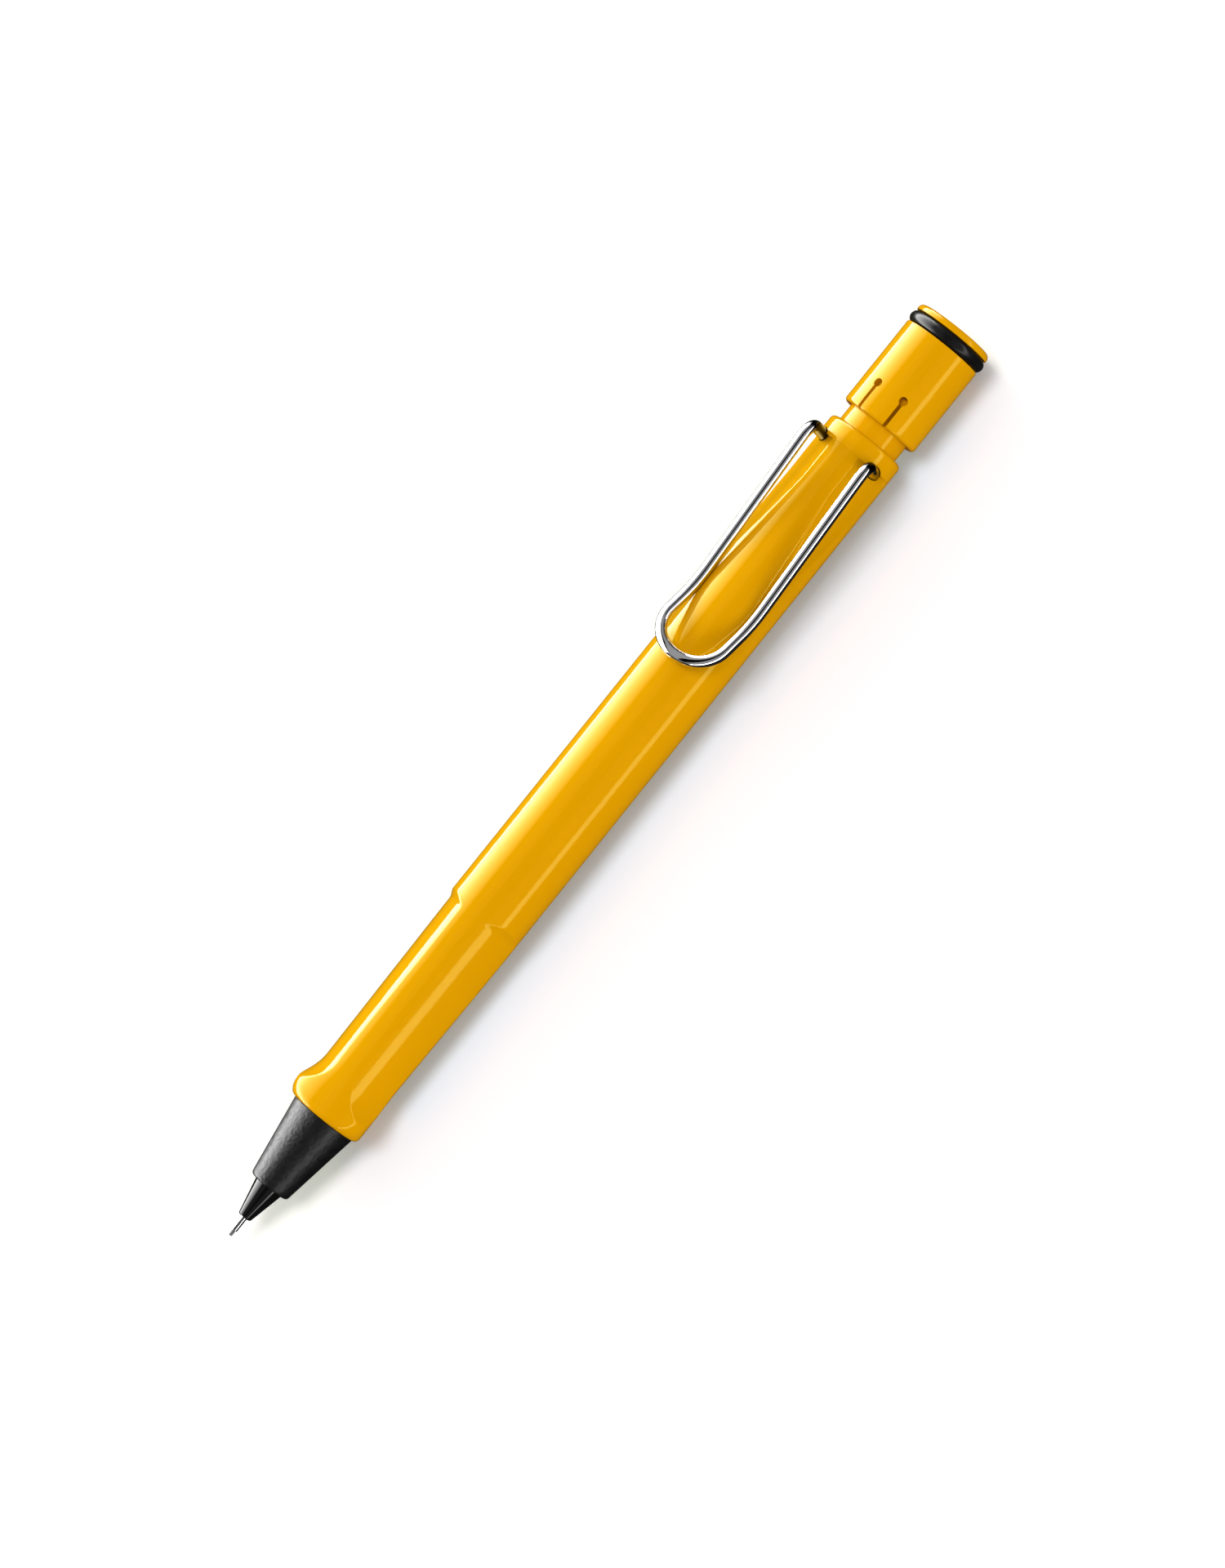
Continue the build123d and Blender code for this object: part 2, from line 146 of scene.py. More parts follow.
def colour_mix(tree, value, first, second, run=NOISE_RUN):
    """Go from one colour to another as a value passes along a run."""
    made = tree.nodes.new("ShaderNodeValToRGB")
    made.color_ramp.elements[0].position = run[0]
    made.color_ramp.elements[1].position = run[1]
    made.color_ramp.elements[0].color = (*first, 1)
    made.color_ramp.elements[1].color = (*second, 1)
    tree.links.new(value, made.inputs["Fac"])
    return made.outputs["Color"]


def bump(tree, shader, value, height_mm):
    """Bump the surface by a noise value."""
    made = tree.nodes.new("ShaderNodeBump")
    made.inputs["Strength"].default_value = 1.0
    made.inputs["Distance"].default_value = height_mm * MM
    tree.links.new(value, made.inputs["Height"])
    tree.links.new(made.outputs["Normal"], shader.inputs["Normal"])


TONE_DETAIL = 2.0


def surface(name, colours, roughness, tone_scale, grain_scale, grain_mm, detail=3.0,
            stretch=(1, 1, 1), metallic=0.0, specular=0.5, tint=WHITE):
    """A material with drifting tone, uneven roughness and a fine grain in its bump."""
    made, tree, shader = node_tree(name)
    tone = noise(tree, tone_scale, TONE_DETAIL)
    grain = noise(tree, grain_scale, detail, stretch)
    tree.links.new(colour_mix(tree, tone, *colours), shader.inputs["Base Color"])
    tree.links.new(ramp(tree, grain, *roughness), shader.inputs["Roughness"])
    bump(tree, shader, grain, grain_mm)
    shader.inputs["Metallic"].default_value = metallic
    shader.inputs["Specular IOR Level"].default_value = specular
    shader.inputs["Specular Tint"].default_value = (*tint, 1)
    return made


DRAWN = (0.08, 1, 1)
TURNED = (1, 0.1, 0.1)

MATERIALS = {
    "yellow_plastic": surface(
        "yellow_plastic", ((0.645, 0.289, 0.0), (0.67, 0.300, 0.0)), (0.06, 0.10),
        tone_scale=60, grain_scale=900, grain_mm=0.0005, specular=0.22, tint=(1.0, 1.0, 0.22)),
    "matte_black_plastic": surface(
        "matte_black_plastic", ((0.002, 0.002, 0.0021), (0.006, 0.006, 0.0063)), (0.32, 0.46),
        tone_scale=900, grain_scale=2400, grain_mm=0.075, detail=5.0, specular=0.26),
    "gloss_black_plastic": surface(
        "gloss_black_plastic", ((0.003, 0.003, 0.003), (0.005, 0.005, 0.005)), (0.08, 0.14),
        tone_scale=200, grain_scale=1500, grain_mm=0.001, specular=0.2),
    "black_plastic": surface(
        "black_plastic", ((0.02, 0.02, 0.021), (0.03, 0.03, 0.032)), (0.30, 0.42),
        tone_scale=300, grain_scale=2600, grain_mm=0.006),
    "white_plastic": surface(
        "white_plastic", ((0.78, 0.79, 0.78), (0.84, 0.85, 0.83)), (0.20, 0.30),
        tone_scale=80, grain_scale=1200, grain_mm=0.002),
    "black_rubber": surface(
        "black_rubber", ((0.004, 0.004, 0.0042), (0.008, 0.008, 0.0083)), (0.20, 0.28),
        tone_scale=500, grain_scale=3000, grain_mm=0.004, specular=0.14),
    "white_rubber": surface(
        "white_rubber", ((0.80, 0.79, 0.76), (0.87, 0.86, 0.83)), (0.60, 0.80),
        tone_scale=400, grain_scale=3500, grain_mm=0.02),
    "graphite": surface(
        "graphite", ((0.05, 0.05, 0.055), (0.10, 0.10, 0.11)), (0.35, 0.55),
        tone_scale=3000, grain_scale=9000, grain_mm=0.010, specular=0.8),
    "polished_wire": surface(
        "polished_wire", ((0.66, 0.66, 0.68), (0.72, 0.72, 0.73)), (0.07, 0.11),
        tone_scale=300, grain_scale=2500, grain_mm=0.0010, stretch=DRAWN, metallic=1.0),
    "steel": surface(
        "steel", ((0.42, 0.42, 0.43), (0.50, 0.50, 0.51)), (0.14, 0.22),
        tone_scale=500, grain_scale=4000, grain_mm=0.002, stretch=DRAWN, metallic=1.0),
    "brass": surface(
        "brass", ((0.72, 0.50, 0.20), (0.80, 0.60, 0.28)), (0.18, 0.30),
        tone_scale=400, grain_scale=5000, grain_mm=0.003, stretch=TURNED, metallic=1.0),
    "aluminium": surface(
        "aluminium", ((0.72, 0.72, 0.73), (0.80, 0.80, 0.81)), (0.22, 0.34),
        tone_scale=400, grain_scale=5000, grain_mm=0.003, stretch=TURNED, metallic=1.0),
}

# Share of the wire's colour left at its ends, where shade is painted on.
END_SHADE = 0.03


def paint_end_shade(made, bright, dark):
    """Paint shade on the wire from one station to another: its base colour darkens where its ends bend
    down into the barrel.
    """
    tree = made.node_tree
    shader = tree.nodes["Principled BSDF"]
    shade = tree.nodes.new("ShaderNodeVectorMath")
    shade.operation = "SCALE"
    run = (place(bright, 0, 0).x, place(dark, 0, 0).x)
    share = ramp(tree, axes(tree)["X"], 1.0, END_SHADE, run)
    tree.links.new(shader.inputs["Base Color"].links[0].from_socket, shade.inputs[0])
    tree.links.new(share, shade.inputs["Scale"])
    tree.links.new(shade.outputs["Vector"], shader.inputs["Base Color"])


# Painted shade: the wire's ends are darkened where they bend down into their holes.
paint_end_shade(MATERIALS["polished_wire"], 119.1, 119.9)

SLOTS = {part["node"]: part["material_slot"] for part in frame["record"]["subparts"]}
BODIES = {
    node: body
    for body, members in frame["record"]["behaviour"]["bodies"].items()
    for node in members
}


# ---------------------------------------------------------------- mesh helpers

SMOOTH_ANGLE = math.radians(32)


def finish_mesh(name, bm):
    """Close a bmesh into an object with smooth faces and sharp corners."""
    bmesh.ops.recalc_face_normals(bm, faces=bm.faces)
    mesh = bpy.data.meshes.new(name)
    bm.to_mesh(mesh)
    bm.free()
    mesh.shade_smooth()
    mesh.set_sharp_from_angle(angle=SMOOTH_ANGLE)
    made = bpy.data.objects.new(name, mesh)
    bpy.context.scene.collection.objects.link(made)
    return made


def ring_mesh(name, rings, loop):
    """Skin successive rings of points: a loop joins last to first, otherwise both ends are capped."""
    bm = bmesh.new()
    rows = [[bm.verts.new(point) for point in ring] for ring in rings]
    pairs = list(zip(rows, rows[1:]))
    if loop:
        pairs.append((rows[-1], rows[0]))
    for first, second in pairs:
        for i in range(len(first)):
            j = (i + 1) % len(first)
            bm.faces.new((first[i], first[j], second[j], second[i]))
    if not loop:
        bm.faces.new(rows[0])
        bm.faces.new(reversed(rows[-1]))
    return finish_mesh(name, bm)


def arc_points(before, corner, after, radius, step_deg=10):
    """Points of the arc that rounds a corner, in two or three dimensions."""
    to_before = (before - corner).normalized()
    to_after = (after - corner).normalized()
    opening = to_before.angle(to_after)
    setback = radius / math.tan(opening / 2)
    centre = corner + (to_before + to_after).normalized() * radius / math.sin(opening / 2)
    start = corner + to_before * setback - centre
    end = corner + to_after * setback - centre
    sweep = start.angle(end)
    count = max(3, round(math.degrees(sweep) / step_deg))
    points = []
    for i in range(count + 1):
        from_start = start * math.sin(sweep * (1 - i / count))
        from_end = end * math.sin(sweep * i / count)
        points.append(centre + (from_start + from_end) / math.sin(sweep))
    return points


def rounded(profile):
    """A closed profile of (station, radius, rounding) with its corners rounded."""
    points = []
    for i, (station, radius, rounding) in enumerate(profile):
        corner = Vector((station, radius))
        if rounding:
            before = Vector(profile[i - 1][:2])
            after = Vector(profile[(i + 1) % len(profile)][:2])
            points += arc_points(before, corner, after, rounding, step_deg=12)
        else:
            points.append(corner)
    return points


def lathe(name, profile, segments=180):
    """Turn a closed profile of (station, radius, rounding) about the pencil's axis."""
    rings = [
        [polar(point.x, point.y, 360 * i / segments) for i in range(segments)]
        for point in rounded(profile)
    ]
    return ring_mesh(name, rings, loop=True)


def carve(piece, cutters):
    """Cut closed solids out of a piece and drop them."""
    for cutter in cutters:
        change = piece.modifiers.new("cut", "BOOLEAN")
        change.operation = "DIFFERENCE"
        change.solver = "EXACT"
        change.object = cutter
    bpy.context.view_layer.update()
    seen = piece.evaluated_get(bpy.context.evaluated_depsgraph_get())
    mesh = bpy.data.meshes.new_from_object(seen)
    piece.modifiers.clear()
    piece.data = mesh
    for cutter in cutters:
        bpy.data.objects.remove(cutter)
    mesh.shade_smooth()
    mesh.set_sharp_from_angle(angle=SMOOTH_ANGLE)


def stand_for(piece, node):
    """Let a detailed piece take a CAD node's place, body, slot and material."""
    piece.data.materials.clear()
    piece.data.materials.append(MATERIALS[SLOTS[node]])
    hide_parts(node)
    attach(piece, BODIES[node])


# ---------------------------------------------------------------- barrel

# Stations, radii, heights and depths are in mm, and angles in degrees from straight up.
BARREL_START, BARREL_END, _ = span("barrel")
COLLAR_START, NECK_END, BARREL_R = span("clip_collar")
GRIP_BACK_R = 4.9
GRIP_TAPER = (22.0, 50.0)
MOUTH_R = 4.42
LIP_ANGLE = 60.0
LIP_SPREAD = 30.0
LIP_HEIGHT = 0.80
LIP_FADE = (21.0, 26.0)
LIP_ROUND_BACK = 0.5
LIP_ROUND_FACET = 1.6
FACET_ANGLE = 56.5
FACET_ARC_R = 10.0
FACET_RADII = (4.37, 4.60)
FACET_RUNOUT = 24.4
FACET_RUNOUT_RISE = 0.085
FACET_STEP = (48.3, 50.2)
FACET_STEP_RISE = 0.75
RELIEF_ANGLE = 53.0
RELIEF_RUN = (103.6, 114.5)
RELIEF_DEPTH = 0.72
RELIEF_LEAD_IN = 1
RELIEF_REACH = 0.5
CORNER_BLEND = 0.045
HOLE_STATION = 120.1
HOLE_Y = 3.85
HOLE_R = 0.86
HOLE_HEIGHTS = (1.45, 7.0)
CLIP_END_HEIGHT = 1.6
CLIP_TOP = (4.45, 7.665)
CLIP_LEAN = (CLIP_TOP[0] - HOLE_Y) / (CLIP_TOP[1] - CLIP_END_HEIGHT)

# The barrel's mesh lines: offsets from a facet's corner, and shares of the arcs between corners.
EDGE_LINES = (-1.5, -1.0, -0.5, 0, 0.5, 1.0, 1.5)
ABOVE_FACET = 18
ACROSS_FACET = 70
BELOW_FACET = 80
EDGE_STEPS = 2


def smooth_step(low, high, value):
    """Rise smoothly from 0 at low to 1 at high."""
    share = min(max((value - low) / (high - low), 0.0), 1.0)
    return share * share * (3 - 2 * share)


def soft_min(first, second):
    """The smaller of two radii, with the corner between them rounded."""
    overlap = max(CORNER_BLEND - abs(first - second), 0.0)
    return min(first, second) - overlap**2 / (4 * CORNER_BLEND)


def round_radius(station):
    """The barrel's radius before its lip, facets and flats."""
    return GRIP_BACK_R + (BARREL_R - GRIP_BACK_R) * smooth_step(*GRIP_TAPER, station)


def facet_share(station):
    """How far a station lies along the thumb facets, from 0 at their front."""
    return max(station - FACET_RUNOUT, 0) / (FACET_STEP[0] - FACET_RUNOUT)


def barrel_radius(angle, station):
    """The barrel's outer radius at an angle from straight up."""
    side = abs(angle)
    lobe = math.exp(-(((side - LIP_ANGLE) / LIP_SPREAD) ** 2))
    full = round_radius(station)
    full += LIP_HEIGHT * lobe * (1 - smooth_step(*LIP_FADE, station))
    mouth = min((station - BARREL_START) / (LIP_ROUND_BACK + LIP_ROUND_FACET * lobe), 1.0)
    full = MOUTH_R + (full - MOUTH_R) * math.sqrt(1 - (1 - mouth) ** 2)
    off = math.radians(side - FACET_ANGLE)
    if station < FACET_STEP[1] and math.cos(off) > 0:
        middle = FACET_RADII[0] + (FACET_RADII[1] - FACET_RADII[0]) * facet_share(station)
        middle += FACET_RUNOUT_RISE * max(FACET_RUNOUT - station, 0) ** 2
        middle += FACET_STEP_RISE * smooth_step(*FACET_STEP, station)
        back = FACET_ARC_R - middle
        facet = math.sqrt(FACET_ARC_R**2 - (back * math.sin(off)) ** 2) - back * math.cos(off)
        full = soft_min(full, facet)
    lean = math.radians(side - RELIEF_ANGLE)
    if station > RELIEF_RUN[0] - RELIEF_LEAD_IN and math.cos(lean) > RELIEF_REACH:
        share = (station - RELIEF_RUN[0]) / (RELIEF_RUN[1] - RELIEF_RUN[0])
        depth = RELIEF_DEPTH * min(share, 1.0)
        full = soft_min(full, (BARREL_R - depth) / math.cos(lean))
    return full


def stations(*runs):
    """Evenly spaced stations along runs of (start, end, step)."""
    found = []
    for start, end, step in runs:
        count = max(1, round((end - start) / step))
        found += [start + (end - start) * i / count for i in range(count)]
    return found + [runs[-1][1]]


def hole_cutters():
    """Pins that cut the two holes for the clip's ends, leaning outwards as the wire does."""
    made = []
    around = 40
    for side in (-1, 1):
        rings = []
        for height in HOLE_HEIGHTS:
            middle = side * (HOLE_Y + (height - CLIP_END_HEIGHT) * CLIP_LEAN)
            rings.append([
                place(HOLE_STATION + HOLE_R * math.cos(turn), middle + HOLE_R * math.sin(turn), height)
                for turn in (math.tau * i / around for i in range(around))
            ])
        made.append(ring_mesh("hole_cutter", rings, loop=False))
    return made


def grid_angles(station):
    """Angles round the barrel, with lines that stay on the corners of the thumb facets."""
    along = min(facet_share(station), 1.0)
    back = FACET_ARC_R - FACET_RADII[0] - (FACET_RADII[1] - FACET_RADII[0]) * along
    full = round_radius(station)
    reach = (FACET_ARC_R**2 - full**2 - back**2) / (2 * full * back)
    half = math.degrees(math.acos(reach))
    upper, lower = FACET_ANGLE - half, FACET_ANGLE + half
    angles = [upper * i / ABOVE_FACET for i in range(ABOVE_FACET - EDGE_STEPS + 1)]
    angles += [upper + step for step in EDGE_LINES]
    angles += [
        upper + 2 * half * i / ACROSS_FACET
        for i in range(EDGE_STEPS, ACROSS_FACET - EDGE_STEPS + 1)
    ]
    angles += [lower + step for step in EDGE_LINES]
    angles += [lower + (180 - lower) * i / BELOW_FACET for i in range(EDGE_STEPS, BELOW_FACET)]
    return [180.0] + [-angle for angle in reversed(angles[1:])] + angles


def make_barrel():
    """The barrel: grip with thumb facets and lip, plain tube, flats under the clip, stepped bore."""
    # Close stations at the mouth, the facets' rear step and the clip's holes, and open ones between.
    outside = stations(
        (BARREL_START, 18.6, 0.05),
        (18.6, 26.0, 0.2),
        (26.0, 47.6, 1.2),
        (47.6, 50.6, 0.15),
        (50.6, 102.4, 4.0),
        (102.4, 120.0, 0.44),
        (120.0, BARREL_END, 0.1),
    )
    rings = [[polar(s, barrel_radius(a, s), a) for a in grid_angles(s)] for s in outside]
    # (station, radius) from the rear to the mouth
    bore = [
        (BARREL_END, 3.75), (113.3, 3.75), (113.3, 3.85), (50.0, 3.85), (50.0, 3.05),
        (47.0, 3.05), (47.0, 3.45), (27.0, 3.45), (27.0, 3.7), (BARREL_START, 3.7),
    ]
    rings += [[polar(s, radius, a) for a in grid_angles(s)] for s, radius in bore]
    piece = ring_mesh("barrel_shell", rings, loop=True)
    carve(piece, hole_cutters())
    stand_for(piece, "barrel")


# ---------------------------------------------------------------- turned pieces

# Radius of the small flat where a turned end meets the axis.
CENTRE_R = 0.02
THREAD_START = 20.0
THREAD_PITCH = 0.8
THREAD_DEPTH = 0.28
THREAD_FADE_IN = (0.2, 1.2)
THREAD_FADE_OUT = (0.9, 0.2)
THREAD_NARROWING = 3
SAME_RADIUS = 1e-4
GROOVE_CLEARANCE = 0.03
KEYHOLE_ANGLE = 22.4


def make_collar():
    """Collar and neck, with the clip's holes open on the joint."""
    bore_r, spigot_r, neck_r = 2.68, 3.72, 4.21
    flange_end = 122.9
    piece = lathe("collar", [
        (COLLAR_START, bore_r, 0),
        (COLLAR_START, spigot_r, 0.15),
        (BARREL_END, spigot_r, 0),
        (BARREL_END, BARREL_R, 0.06),
        (flange_end, BARREL_R, 0.6),
        (flange_end, neck_r, 0.12),
        (NECK_END, neck_r, 0.3),
        (NECK_END, bore_r, 0.1),
    ])
    carve(piece, hole_cutters())
    stand_for(piece, "clip_collar")


def thread_groove(station, share, first, last):
    """Depth of a helical thread at a share of a turn, fading in and out at the ends of its run."""
    phase = ((station - THREAD_START) / THREAD_PITCH - share) % 1.0
    fade = smooth_step(first + THREAD_FADE_IN[0], first + THREAD_FADE_IN[1], station)
    fade *= 1 - smooth_step(last - THREAD_FADE_OUT[0], last - THREAD_FADE_OUT[1], station)
    return THREAD_DEPTH * fade * max(0.0, 1 - abs(phase - 0.5) * THREAD_NARROWING)


def make_nose_cone():
    """Matte cone with a rounded front edge and a helical thread on its spigot."""
    start, end, rear_r = span("nose_cone")
    seat, spigot_r = 18.1, 3.62
    socket_r, socket_end = 1.85, 12.5
    throat_r, throat_end = 1.2, 19.5
    sleeve_r, sleeve_start = 2.6, 23.3
    step_r = 1.75
    around = 120
    profile = rounded([
        (start, socket_r, 0), (start, 2.7, 0.5), (seat, rear_r, 0.08), (seat, spigot_r, 0),
        (end, spigot_r, 0), (end, sleeve_r, 0.1), (sleeve_start, sleeve_r, 0),
        (sleeve_start, step_r, 0), (throat_end, step_r, 0), (throat_end, throat_r, 0),
        (socket_end, throat_r, 0), (socket_end, socket_r, 0),
    ])
    rings = []
    for point, after in zip(profile, profile[1:] + profile[:1]):
        rings.append([polar(point.x, point.y, 360 * i / around) for i in range(around)])
        if max(abs(point.y - spigot_r), abs(after.y - spigot_r)) < SAME_RADIUS:
            for s in stations((seat + 0.1, end - 0.1, 0.1)):
                rings.append([
                    polar(s, spigot_r - thread_groove(s, i / around, seat, end), 360 * i / around)
                    for i in range(around)
                ])
    stand_for(ring_mesh("cone", rings, loop=True), "nose_cone")


def make_nose_tip():
    """Glossy tip: a straight cone with a rounded mouth."""
    start, end, _ = span("nose_tip")
    seat, _, _ = span("nose_cone")
    spigot_r, sleeve_r = 1.85, 0.43
    sleeve_end = 7.0
    lead_r, lead_end = 0.31, 9.6
    rear_bore_r = 1.0
    stand_for(lathe("tip", [
        (start, sleeve_r, 0.03),
        (start, 0.87, 0.34),
        (seat, 1.92, 0),
        (seat, spigot_r, 0),
        (end, spigot_r, 0.1),
        (end, rear_bore_r, 0),
        (lead_end, rear_bore_r, 0),
        (lead_end, lead_r, 0),
        (sleeve_end, lead_r, 0),
        (sleeve_end, sleeve_r, 0),
    ]), "nose_tip")


def make_sleeve():
    """Steel sleeve with a softened mouth."""
    start, end, radius = span("lead_sleeve")
    bore_r = 0.31
    stand_for(lathe("sleeve", [
        (start, bore_r, 0.03),
        (start, radius, 0.05),
        (end, radius, 0),
        (end, bore_r, 0),
    ], segments=64), "lead_sleeve")


def make_lead():
    """Lead with a slightly worn end."""
    start, end, radius = span("lead")
    around = 48
    profile = [
        (start, CENTRE_R, 0), (start, radius, 0.09), (end, radius, 0.03), (end, CENTRE_R, 0),
    ]
    rings = [
        [polar(point.x, point.y, 360 * i / around) for i in range(around)]
        for point in rounded(profile)
    ]
    stand_for(ring_mesh("lead_rod", rings, loop=False), "lead")


def make_cap_ring():
    """Rubber ring of round section."""
    start, end, outer = span("cap_ring")
    section = (end - start) / 2
    middle = (start + end) / 2
    across, around = 40, 180
    rings = []
    for i in range(across):
        turn = math.tau * i / across
        station = middle + section * math.cos(turn)
        radius = outer - section + section * math.sin(turn)
        rings.append([polar(station, radius, 360 * k / around) for k in range(around)])
    stand_for(ring_mesh("rubber_ring", rings, loop=True), "cap_ring")


def keyhole_cutter(angle):
    """A radial prism with the outline of one keyhole slot."""
    start, _, _ = span("push_cap")
    hole_station, hole_r, half_slot = 128.9, 0.55, 0.23
    inner_r, outer_r = 3.6, 6.5
    meet = math.asin(half_slot / hole_r)
    steps = 28
    outline = [(start - 1, half_slot), (start - 1, -half_slot)]
    for i in range(steps + 1):
        turn = math.pi + meet + (math.tau - 2 * meet) * i / steps
        outline.append((hole_station + hole_r * math.cos(turn), hole_r * math.sin(turn)))
    lean = math.radians(angle)
    rings = []
    for radius in (inner_r, outer_r):
        rings.append([
            place(
                s,
                radius * math.sin(lean) + across * math.cos(lean),
                radius * math.cos(lean) - across * math.sin(lean),
            )
            for s, across in outline
        ])
    return ring_mesh("keyhole_cutter", rings, loop=False)


def make_cap():
    """Push cap with its ring groove, stepped bore and keyhole slots."""
    start, end, radius = span("push_cap")
    ring_start, ring_end, _ = span("cap_ring")
    groove_start, groove_end = ring_start - GROOVE_CLEARANCE, ring_end + GROOVE_CLEARANCE
    groove_r = 3.76
    mouth_r, mouth_end = 4.32, 132.55
    socket_r, socket_end = 3.0, 136.3
    around = 200
    outside = rounded([
        (start, mouth_r, 0.12),
        (start, radius, 0.45),
        (groove_start, radius, 0.1),
        (groove_start, groove_r, 0.05),
        (groove_end, groove_r, 0.05),
        (groove_end, radius, 0.08),
        (end, radius, 0.62),
        (end, CENTRE_R, 0),
    ])
    inside = [
        (socket_end, CENTRE_R), (socket_end, socket_r), (mouth_end, socket_r), (mouth_end, mouth_r),
    ]
    rings = [
        [polar(*point, 360 * i / around) for i in range(around)]
        for point in outside + inside
    ]
    piece = ring_mesh("cap_shell", rings, loop=True)
    carve(piece, [
        keyhole_cutter(middle + side * KEYHOLE_ANGLE) for middle in (0, 180) for side in (-1, 1)
    ])
    stand_for(piece, "push_cap")


# ---------------------------------------------------------------- clip and spring

def wire_mesh(name, points, radius, around=28):
    """A round wire along points, with its section carried without twist."""
    tangents = []
    for i, point in enumerate(points):
        before = points[max(i - 1, 0)]
        after = points[min(i + 1, len(points) - 1)]
        tangents.append((after - before).normalized())
    normal = tangents[0].orthogonal().normalized()
    rings = []
    for i, (point, tangent) in enumerate(zip(points, tangents)):
        if i:
            normal = tangents[i - 1].rotation_difference(tangent) @ normal
        side = tangent.cross(normal)
        rings.append([
            point + (normal * math.cos(turn) + side * math.sin(turn)) * radius
            for turn in (math.tau * k / around for k in range(around))
        ])
    return ring_mesh(name, rings, loop=False)


# The clip's corners as (station, side, height), and the radius of each bend.
CLIP_DIP = (96.4, 4.4, 3.76)
CLIP_LOOP = (88.15, 4.4, 7.3)
CLIP_BENDS = (1.65, 9.0, 4.34)
CLIP_WIRE_R = 0.75


def make_clip():
    """The bent wire: up out of its hole, along the barrel, round the loop and back."""
    leg = [
        place(HOLE_STATION, HOLE_Y, CLIP_END_HEIGHT),
        place(HOLE_STATION, *CLIP_TOP),
        place(*CLIP_DIP),
        place(*CLIP_LOOP),
    ]
    mirror = Matrix.Diagonal((1, -1, 1))
    corners = leg + [mirror @ point for point in reversed(leg)]
    bends = CLIP_BENDS + CLIP_BENDS[::-1]
    path = [corners[0]]
    for i, bend in enumerate(bends):
        path += arc_points(corners[i], corners[i + 1], corners[i + 2], bend * MM, step_deg=4)
    path.append(corners[-1])
    stand_for(wire_mesh("clip_wire", path, CLIP_WIRE_R * MM), "clip")


def make_spring():
    """The coil spring, with a closed coil at each end."""
    start, end, outer = span("main_spring")
    wire_r = 0.2
    turns, closed = 6.5, 0.54
    steps = 300
    # Half of the rise is even and half starts after the closed turns, so the coils open up between.
    low, high = start + wire_r, end - wire_r
    points = []
    for i in range(steps + 1):
        share = i / steps
        turn = share * turns
        rise = smooth_step(closed, turns - closed, turn)
        along = (share + rise) / 2
        points.append(polar(low + (high - low) * along, outer - wire_r, 360 * turn))
    piece = wire_mesh("coil_spring", points, wire_r * MM, around=12)
    stand_for(piece, "main_spring")
    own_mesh(piece)


make_barrel()
make_collar()
make_nose_cone()
make_nose_tip()
make_sleeve()
make_lead()
make_cap_ring()
make_cap()
make_clip()
make_spring()

for name, cad_object in nodes.items():
    if not cad_object.hide_render:
        cad_object.data.materials.clear()
        cad_object.data.materials.append(MATERIALS[SLOTS[name]])


# ---------------------------------------------------------------- studio

# Distances in the studio are in metres.
FLOOR_COLOUR = (0.95, 0.92, 0.94)
SHADOW_FLOOR_COLOUR = (0.69, 0.83, 0.99)
SHADOW_MIDDLE = 0.008
SHADOW_ACROSS = (0.004, 0.012)
SHADOW_ALONG = (0.052, 0.064)
WHOLE_RUN = (0.0, 1.0)


def calculate(tree, operation, *values):
    """The result of a math operation on sockets or numbers."""
    made = tree.nodes.new("ShaderNodeMath")
    made.operation = operation
    for socket, value in zip(made.inputs, values):
        if isinstance(value, bpy.types.NodeSocket):
            tree.links.new(value, socket)
        else:
            socket.default_value = value
    return made.outputs["Value"]


def shadow_tint(tree):
    """Floor colour: pale, and a little cooler beside the yellow barrel to offset its warm bounce."""
    at = axes(tree)
    across = calculate(tree, "ABSOLUTE", at["Y"])
    along = calculate(tree, "ABSOLUTE", calculate(tree, "SUBTRACT", at["X"], SHADOW_MIDDLE))
    near = calculate(
        tree,
        "MULTIPLY",
        ramp(tree, across, 1.0, 0.0, SHADOW_ACROSS),
        ramp(tree, along, 1.0, 0.0, SHADOW_ALONG),
    )
    return colour_mix(tree, near, FLOOR_COLOUR, SHADOW_FLOOR_COLOUR, WHOLE_RUN)


def stage_sheet(name, size, at, normal, material):
    """A flat stage sheet, square to a normal."""
    mesh = bpy.data.meshes.new(name)
    x, y = size[0] / 2, size[1] / 2
    mesh.from_pydata([(-x, -y, 0), (x, -y, 0), (x, y, 0), (-x, y, 0)], [], [(0, 1, 2, 3)])
    mesh.materials.append(material)
    sheet = bpy.data.objects.new(name, mesh)
    bpy.context.scene.collection.objects.link(sheet)
    back = Vector(normal).normalized()
    across = Vector((1, 0, 0))
    up = back.cross(across)
    sheet.matrix_world = Matrix.Translation(at) @ Matrix((across, up, back)).transposed().to_4x4()
    return sheet


def make_floor():
    """A plain pale floor, kept out of reflections."""
    made, tree, shader = node_tree("floor")
    tree.links.new(shadow_tint(tree), shader.inputs["Base Color"])
    shader.inputs["Roughness"].default_value = 0.9
    floor = stage_sheet("floor", (6.0, 6.0), (0, 0, cad_low.z), (0, 0, 1), made)
    floor.visible_glossy = False


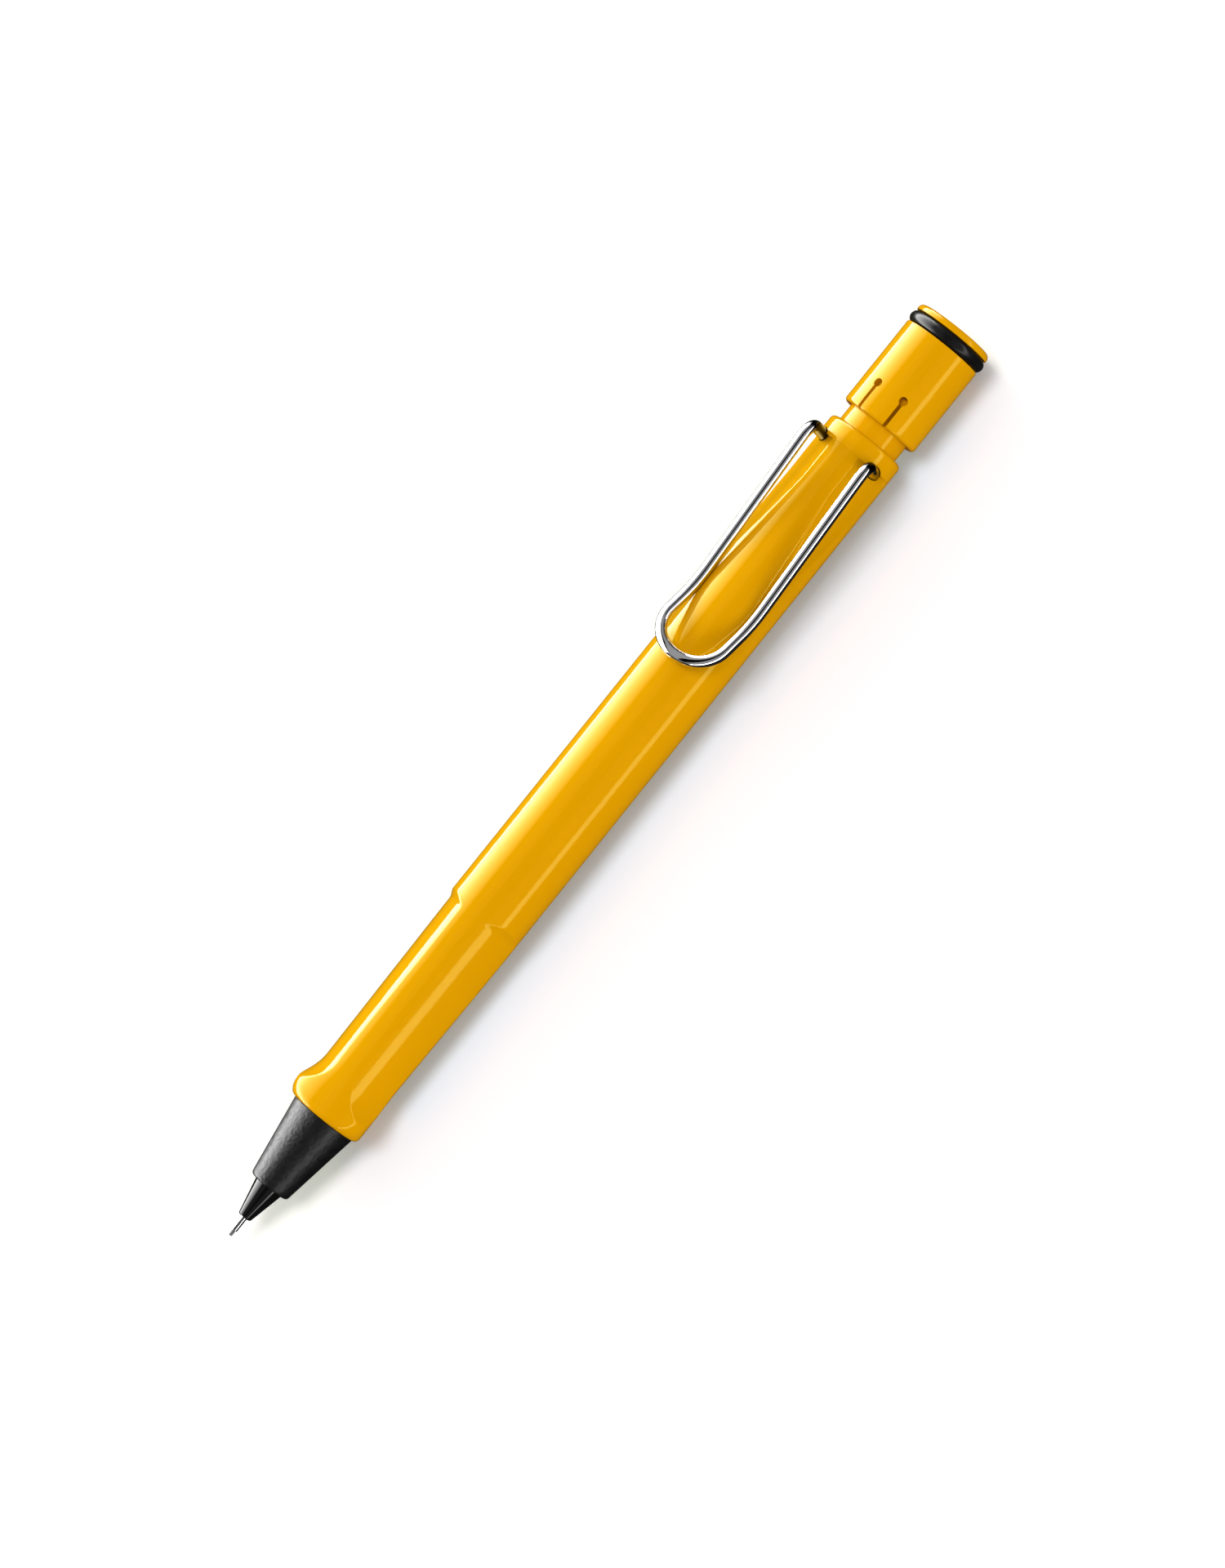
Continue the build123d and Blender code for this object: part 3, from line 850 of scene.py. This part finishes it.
def make_panel(name, size, at, normal, strength, fade=None):
    """A light panel that only reflections see, which can fade out along its own Y."""
    made, tree, shader = node_tree(name)
    tree.nodes.remove(shader)
    glow = tree.nodes.new("ShaderNodeEmission")
    path = tree.nodes.new("ShaderNodeLightPath")
    direct = ramp(tree, path.outputs["Diffuse Depth"], strength, 0.0, WHOLE_RUN)
    tree.links.new(direct, glow.inputs["Strength"])
    if fade:
        tree.links.new(ramp(tree, axes(tree)["Y"], strength, 0.0, fade), direct.node.inputs["To Min"])
    tree.links.new(glow.outputs["Emission"], tree.nodes["Material Output"].inputs["Surface"])
    panel = stage_sheet(name, size, at, normal, made)
    panel.visible_camera = False
    panel.visible_diffuse = False
    panel.visible_shadow = False


def soft_sun(name, elevation, spread, strength, colour):
    """A broad, distant light square to the pencil, in front past 90, and kept out of reflections."""
    data = bpy.data.lights.new(name, "SUN")
    data.angle = math.radians(spread)
    data.energy = strength
    data.color = colour
    lamp = bpy.data.objects.new(name, data)
    bpy.context.scene.collection.objects.link(lamp)
    rise = math.radians(elevation)
    shining = Vector((0, -math.cos(rise), -math.sin(rise)))
    lamp.rotation_euler = shining.to_track_quat("-Z", "Y").to_euler()
    lamp.visible_glossy = False


SOFT_LIGHT = 0.60
REFLECTED_LIGHT = (0.02, 0.40)
REFLECTED_RUN = (0.05, 0.60)


def make_world():
    """Even pale surroundings for soft light, which reflections see darken towards the horizon."""
    world = bpy.data.worlds.new("studio")
    world.use_nodes = True
    bpy.context.scene.world = world
    tree = world.node_tree
    background = tree.nodes["Background"]
    background.inputs["Color"].default_value = (*WHITE, 1)
    path = tree.nodes.new("ShaderNodeLightPath")
    level = ramp(tree, path.outputs["Is Glossy Ray"], SOFT_LIGHT, 0.0, WHOLE_RUN)
    reflected = ramp(tree, axes(tree, "Generated")["Z"], *REFLECTED_LIGHT, REFLECTED_RUN)
    tree.links.new(reflected, level.node.inputs["To Max"])
    shown = ramp(tree, path.outputs["Is Camera Ray"], 0.0, 1.0, WHOLE_RUN)
    tree.links.new(level, shown.node.inputs["To Min"])
    tree.links.new(shown, background.inputs["Strength"])


make_world()
make_floor()
make_panel("main_panel", (1.6, 0.90), (0, 0.4, 0.345), (0, -1, 0), 18.0, fade=(-0.27, 0.26))
make_panel("side_strip", (1.6, 0.10), (0, -0.4, 0.12), (0, 1, 0), 6.8)
make_panel("camera_flag", (1.6, 0.26), (0, -0.13, 0.50), (0, 0.24, -1), 0.0)
soft_sun("key", 82, 22, 1.42, WHITE)
soft_sun("rim", 12, 30, 2.90, (0.86, 1.0, 0.6))
soft_sun("fill", 168, 28, 0.95, (0.95, 1.0, 0.95))


# ---------------------------------------------------------------- camera

CAMERA_ELEVATION = 73.0
CAMERA_ROLL = 51.27
CAMERA_DISTANCE = 0.75
CAMERA_LENS = 142.7
AIM_STATION = 71.35
AIM_DROP = 1.97


def make_camera():
    """Camera above and in front, rolled so the pencil rises to the right."""
    elevation = math.radians(CAMERA_ELEVATION)
    roll = math.radians(CAMERA_ROLL)
    level_up = Vector((0, math.sin(elevation), math.cos(elevation)))
    along = Vector((1, 0, 0))
    right = along * math.cos(roll) - level_up * math.sin(roll)
    up = along * math.sin(roll) + level_up * math.cos(roll)
    back = Vector((0, -math.cos(elevation), math.sin(elevation)))
    aim = place(AIM_STATION, 0, 0) - level_up * AIM_DROP * MM
    data = bpy.data.cameras.new("camera")
    data.lens = CAMERA_LENS
    data.sensor_width = 36.0
    camera = bpy.data.objects.new("camera", data)
    bpy.context.scene.collection.objects.link(camera)
    turn = Matrix((right, up, back)).transposed().to_4x4()
    camera.matrix_world = Matrix.Translation(aim + back * CAMERA_DISTANCE) @ turn
    bpy.context.scene.camera = camera


make_camera()
bpy.context.scene.view_settings.view_transform = "Standard"
